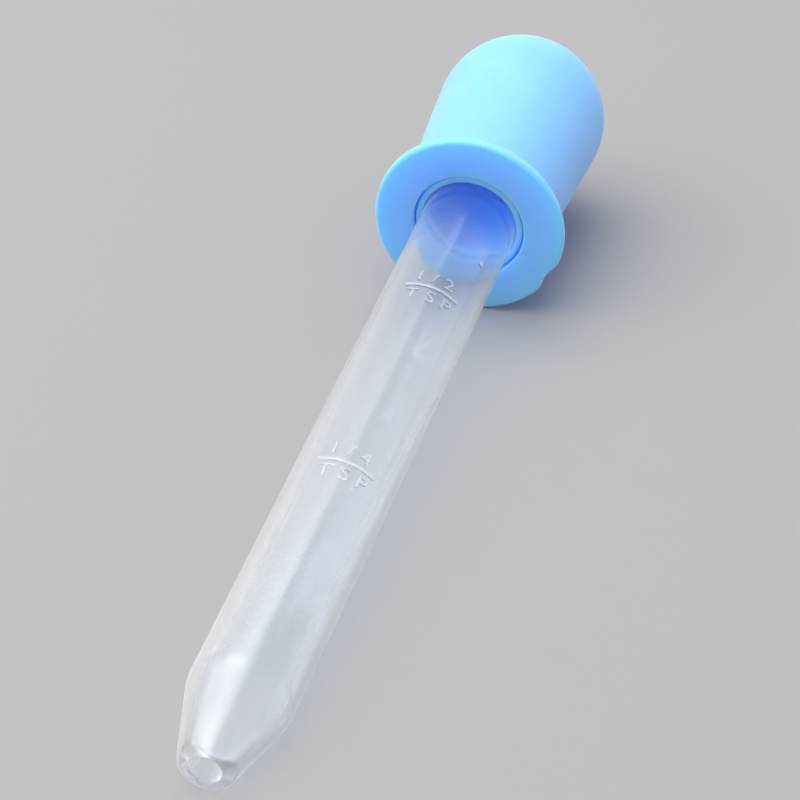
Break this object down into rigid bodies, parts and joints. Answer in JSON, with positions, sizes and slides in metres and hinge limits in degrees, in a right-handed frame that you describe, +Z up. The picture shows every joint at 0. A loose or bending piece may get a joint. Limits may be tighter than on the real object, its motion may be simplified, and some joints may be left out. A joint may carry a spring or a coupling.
{
  "type": "medicine dropper",
  "caption": "Oral medicine dropper: a translucent graduated tube with a tapered tip, pushed into a soft flanged squeeze bulb with a round top.",
  "frame": {"origin": "middle of the bounding box's base: half way along the dropper, under its axis, at the lowest facet of the flange", "axes": "+X along the dropper's axis from its tip to its bulb, +Z up as it lies on a table; the teaspoon graduations face up, 17 degrees towards -Y"},
  "size_m": [0.109, 0.0194, 0.0195],
  "materials": {
    "polypropylene": "translucent natural polypropylene, satin",
    "silicone": "light blue silicone, matt"
  },
  "bodies": {
    "tube": {"graduated_tube": "polypropylene"},
    "bulb": {"squeeze_bulb": "silicone"}
  },
  "joints": [
    {"name": "bulb_pull", "type": "slide", "parent": "tube", "child": "bulb", "axis": [1, 0, 0], "range_m": [0, 0.014]}
  ]
}
